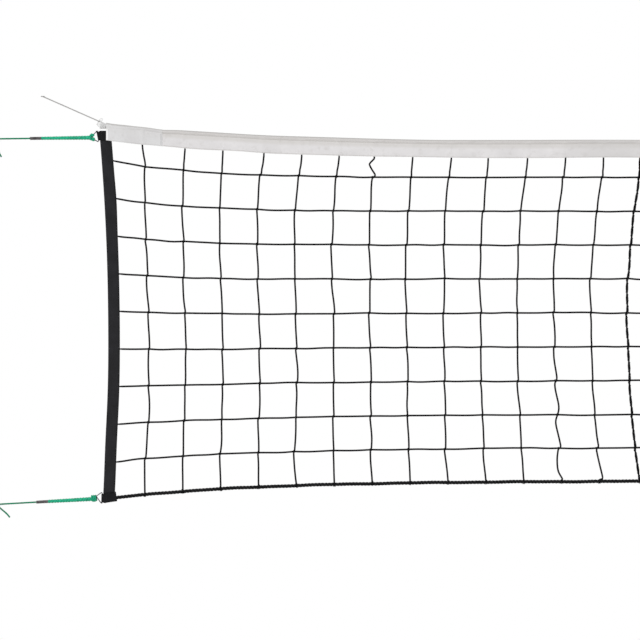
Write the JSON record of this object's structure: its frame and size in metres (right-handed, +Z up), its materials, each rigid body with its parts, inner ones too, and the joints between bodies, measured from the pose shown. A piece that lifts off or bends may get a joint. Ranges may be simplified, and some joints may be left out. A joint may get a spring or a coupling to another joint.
{
  "type": "volleyball net",
  "caption": "Long volleyball net of black square mesh with a folded white top tape, a twisted bottom rope, webbing side bands and green tension lines on wire rings.",
  "frame": {"origin": "the left end of the top rope, at the middle of its eye, where the net hangs from its post", "axes": "+X along the net from left to right, +Z up, and the net's plane is Y = 0 with its front towards -Y"},
  "size_m": [10.2198, 0.0142, 1.1131],
  "materials": {
    "tape_white": "vinyl-coated cloth, satin",
    "rope_white": "braided cord, matte",
    "tie_white": "braided cord, matte",
    "netting_black": "knotted polyester cord, matte",
    "bottom_rope_black": "twisted rope, matte",
    "webbing_black": "woven webbing, matte",
    "ring_steel": "satin wire",
    "line_green": "braided cord, light sheen",
    "whipping_grey": "wound thread, matte"
  },
  "bodies": {
    "net": {"top_tape": "tape_white", "tape_end_left": "tape_white", "tape_end_right": "tape_white", "top_rope": "rope_white", "rope_eye_left": "rope_white", "rope_eye_right": "rope_white", "corner_tie_left": "tie_white", "corner_tie_right": "tie_white", "head_cord": "netting_black", "netting_columns": "netting_black", "netting_rows": "netting_black", "panel_seam_left": "netting_black", "panel_seam_right": "netting_black", "bottom_rope": "bottom_rope_black", "side_band_left": "webbing_black", "side_band_right": "webbing_black", "strap_upper_left": "webbing_black", "strap_lower_left": "webbing_black", "strap_upper_right": "webbing_black", "strap_lower_right": "webbing_black"},
    "tension_line_upper_left": {"ring_upper_left": "ring_steel", "hitch_upper_left": "line_green", "splice_upper_left": "line_green", "whipping_upper_left": "whipping_grey", "line_upper_left": "line_green", "knot_upper_left": "line_green"},
    "tension_line_lower_left": {"ring_lower_left": "ring_steel", "hitch_lower_left": "line_green", "splice_lower_left": "line_green", "whipping_lower_left": "whipping_grey", "line_lower_left": "line_green", "knot_lower_left": "line_green"},
    "tension_line_upper_right": {"ring_upper_right": "ring_steel", "hitch_upper_right": "line_green", "splice_upper_right": "line_green", "whipping_upper_right": "whipping_grey", "line_upper_right": "line_green", "knot_upper_right": "line_green"},
    "tension_line_lower_right": {"ring_lower_right": "ring_steel", "hitch_lower_right": "line_green", "splice_lower_right": "line_green", "whipping_lower_right": "whipping_grey", "line_lower_right": "line_green", "knot_lower_right": "line_green"}
  },
  "joints": [
    {"name": "ring_swing_upper_left", "type": "hinge", "parent": "net", "child": "tension_line_upper_left", "pos_m": [0.14978, 0, -0.104], "axis": [0, 0, 1], "range_deg": [-90, 90]},
    {"name": "ring_swing_lower_left", "type": "hinge", "parent": "net", "child": "tension_line_lower_left", "pos_m": [0.16045, 0, -1.0609], "axis": [0, 0, 1], "range_deg": [-90, 90]},
    {"name": "ring_swing_upper_right", "type": "hinge", "parent": "net", "child": "tension_line_upper_right", "pos_m": [9.69622, 0, -0.104], "axis": [0, 0, 1], "range_deg": [-90, 90]},
    {"name": "ring_swing_lower_right", "type": "hinge", "parent": "net", "child": "tension_line_lower_right", "pos_m": [9.68556, 0, -1.0609], "axis": [0, 0, 1], "range_deg": [-90, 90]}
  ]
}
